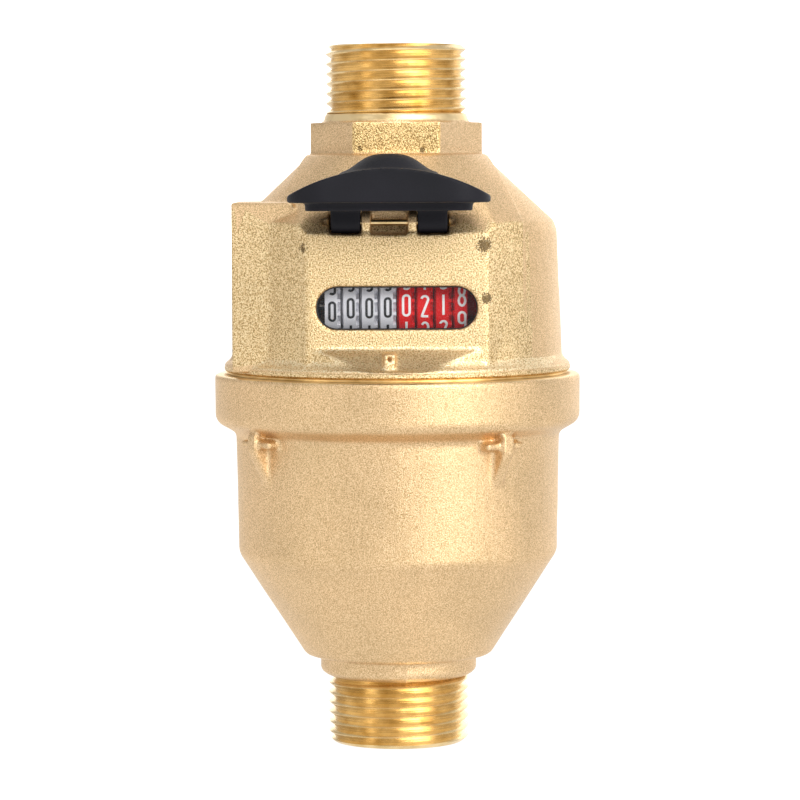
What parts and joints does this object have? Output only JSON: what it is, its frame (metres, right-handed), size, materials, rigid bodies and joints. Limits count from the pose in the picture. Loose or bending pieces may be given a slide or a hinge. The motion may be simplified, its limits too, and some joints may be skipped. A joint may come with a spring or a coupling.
{
  "type": "water meter",
  "caption": "In-line brass water meter: screwed two-part body with threaded ends, rotary piston chamber, drum counter behind a window and a hinged reading lid.",
  "frame": {"origin": "on the pipe axis at the inlet end face", "axes": "+Z along the pipe axis from inlet to outlet, -Y out of the window, +X to the reader's right"},
  "size_m": [0.0864, 0.102, 0.165],
  "materials": {
    "cast_brass": "sand-cast, tumbled, satin grain",
    "bright_brass": "turned, bright",
    "lid_plastic": "moulded black, fine texture",
    "lens": "clear, polished",
    "white_drum": "moulded white",
    "red_drum": "moulded red",
    "grey_resin": "moulded grey",
    "dark_resin": "moulded dark grey",
    "steel": "ground",
    "rubber": "matt"
  },
  "bodies": {
    "root": {"lower_body": "cast_brass", "upper_housing": "cast_brass", "body_seal": "rubber", "inlet_strainer": "dark_resin", "chamber_cup": "grey_resin", "chamber_cover": "grey_resin", "partition_plate": "steel", "separator_plate": "grey_resin", "register_frame": "dark_resin", "drum_axle": "steel", "pinion_axle": "steel", "window_lens": "lens", "lens_gasket": "rubber", "hinge_pin": "bright_brass"},
    "lid": {"reading_lid": "lid_plastic"},
    "spindle": {"drive_spindle": "steel", "spindle_gear": "grey_resin"},
    "piston": {"rotary_piston": "dark_resin"},
    "worm": {"worm_shaft": "steel", "worm_gear": "grey_resin"},
    "drum_1_wheel": {"drum_1": "white_drum"},
    "drum_2_wheel": {"drum_2": "white_drum"},
    "drum_3_wheel": {"drum_3": "white_drum"},
    "drum_4_wheel": {"drum_4": "white_drum"},
    "drum_5_wheel": {"drum_5": "red_drum"},
    "drum_6_wheel": {"drum_6": "red_drum"},
    "drum_7_wheel": {"drum_7": "red_drum"},
    "drum_8_wheel": {"drum_8": "red_drum"},
    "carry_pinion_1_wheel": {"carry_pinion_1": "grey_resin"},
    "carry_pinion_2_wheel": {"carry_pinion_2": "grey_resin"},
    "carry_pinion_3_wheel": {"carry_pinion_3": "grey_resin"},
    "carry_pinion_4_wheel": {"carry_pinion_4": "grey_resin"},
    "carry_pinion_5_wheel": {"carry_pinion_5": "grey_resin"},
    "carry_pinion_6_wheel": {"carry_pinion_6": "grey_resin"},
    "carry_pinion_7_wheel": {"carry_pinion_7": "grey_resin"}
  },
  "joints": [
    {"name": "lid_hinge", "type": "hinge", "parent": "root", "child": "lid", "pos_m": [-0.0017, -0.0313, 0.1238], "axis": [1, 0, 0], "range_deg": [0, 90]},
    {"name": "spindle_spin", "type": "hinge", "parent": "root", "child": "spindle", "pos_m": [0, 0, 0.075], "axis": [0, 0, 1], "continuous": true},
    {"name": "piston_orbit", "type": "hinge", "parent": "spindle", "child": "piston", "pos_m": [0.0024, 0, 0.066], "axis": [0, 0, 1], "continuous": true},
    {"name": "worm_spin", "type": "hinge", "parent": "root", "child": "worm", "pos_m": [0.01947, -0.01037, 0.094], "axis": [0, 0, 1], "continuous": true},
    {"name": "drum_1_spin", "type": "hinge", "parent": "root", "child": "drum_1_wheel", "pos_m": [0, -0.0188, 0.1043], "axis": [1, 0, 0], "continuous": true},
    {"name": "drum_2_spin", "type": "hinge", "parent": "root", "child": "drum_2_wheel", "pos_m": [0, -0.0188, 0.1043], "axis": [1, 0, 0], "continuous": true},
    {"name": "drum_3_spin", "type": "hinge", "parent": "root", "child": "drum_3_wheel", "pos_m": [0, -0.0188, 0.1043], "axis": [1, 0, 0], "continuous": true},
    {"name": "drum_4_spin", "type": "hinge", "parent": "root", "child": "drum_4_wheel", "pos_m": [0, -0.0188, 0.1043], "axis": [1, 0, 0], "continuous": true},
    {"name": "drum_5_spin", "type": "hinge", "parent": "root", "child": "drum_5_wheel", "pos_m": [0, -0.0188, 0.1043], "axis": [1, 0, 0], "continuous": true},
    {"name": "drum_6_spin", "type": "hinge", "parent": "root", "child": "drum_6_wheel", "pos_m": [0, -0.0188, 0.1043], "axis": [1, 0, 0], "continuous": true},
    {"name": "drum_7_spin", "type": "hinge", "parent": "root", "child": "drum_7_wheel", "pos_m": [0, -0.0188, 0.1043], "axis": [1, 0, 0], "continuous": true},
    {"name": "drum_8_spin", "type": "hinge", "parent": "root", "child": "drum_8_wheel", "pos_m": [0, -0.0188, 0.1043], "axis": [1, 0, 0], "continuous": true},
    {"name": "carry_pinion_1_spin", "type": "hinge", "parent": "root", "child": "carry_pinion_1_wheel", "pos_m": [0, -0.00613, 0.1043], "axis": [1, 0, 0], "continuous": true},
    {"name": "carry_pinion_2_spin", "type": "hinge", "parent": "root", "child": "carry_pinion_2_wheel", "pos_m": [0, -0.00613, 0.1043], "axis": [1, 0, 0], "continuous": true},
    {"name": "carry_pinion_3_spin", "type": "hinge", "parent": "root", "child": "carry_pinion_3_wheel", "pos_m": [0, -0.00613, 0.1043], "axis": [1, 0, 0], "continuous": true},
    {"name": "carry_pinion_4_spin", "type": "hinge", "parent": "root", "child": "carry_pinion_4_wheel", "pos_m": [0, -0.00613, 0.1043], "axis": [1, 0, 0], "continuous": true},
    {"name": "carry_pinion_5_spin", "type": "hinge", "parent": "root", "child": "carry_pinion_5_wheel", "pos_m": [0, -0.00613, 0.1043], "axis": [1, 0, 0], "continuous": true},
    {"name": "carry_pinion_6_spin", "type": "hinge", "parent": "root", "child": "carry_pinion_6_wheel", "pos_m": [0, -0.00613, 0.1043], "axis": [1, 0, 0], "continuous": true},
    {"name": "carry_pinion_7_spin", "type": "hinge", "parent": "root", "child": "carry_pinion_7_wheel", "pos_m": [0, -0.00613, 0.1043], "axis": [1, 0, 0], "continuous": true}
  ],
  "couplings": [
    {"joint": "piston_orbit", "follows": "spindle_spin", "ratio": -1},
    {"joint": "worm_spin", "follows": "spindle_spin", "ratio": -1.4},
    {"joint": "drum_1_spin", "follows": "spindle_spin", "ratio": -0.0000000058333},
    {"joint": "drum_2_spin", "follows": "spindle_spin", "ratio": -0.000000058333},
    {"joint": "drum_3_spin", "follows": "spindle_spin", "ratio": -0.00000058333},
    {"joint": "drum_4_spin", "follows": "spindle_spin", "ratio": -0.0000058333},
    {"joint": "drum_5_spin", "follows": "spindle_spin", "ratio": -0.000058333},
    {"joint": "drum_6_spin", "follows": "spindle_spin", "ratio": -0.00058333},
    {"joint": "drum_7_spin", "follows": "spindle_spin", "ratio": -0.0058333},
    {"joint": "drum_8_spin", "follows": "spindle_spin", "ratio": -0.058333},
    {"joint": "carry_pinion_1_spin", "follows": "spindle_spin", "ratio": 0.000000014583},
    {"joint": "carry_pinion_2_spin", "follows": "spindle_spin", "ratio": 0.00000014583},
    {"joint": "carry_pinion_3_spin", "follows": "spindle_spin", "ratio": 0.0000014583},
    {"joint": "carry_pinion_4_spin", "follows": "spindle_spin", "ratio": 0.000014583},
    {"joint": "carry_pinion_5_spin", "follows": "spindle_spin", "ratio": 0.00014583},
    {"joint": "carry_pinion_6_spin", "follows": "spindle_spin", "ratio": 0.0014583},
    {"joint": "carry_pinion_7_spin", "follows": "spindle_spin", "ratio": 0.014583}
  ]
}
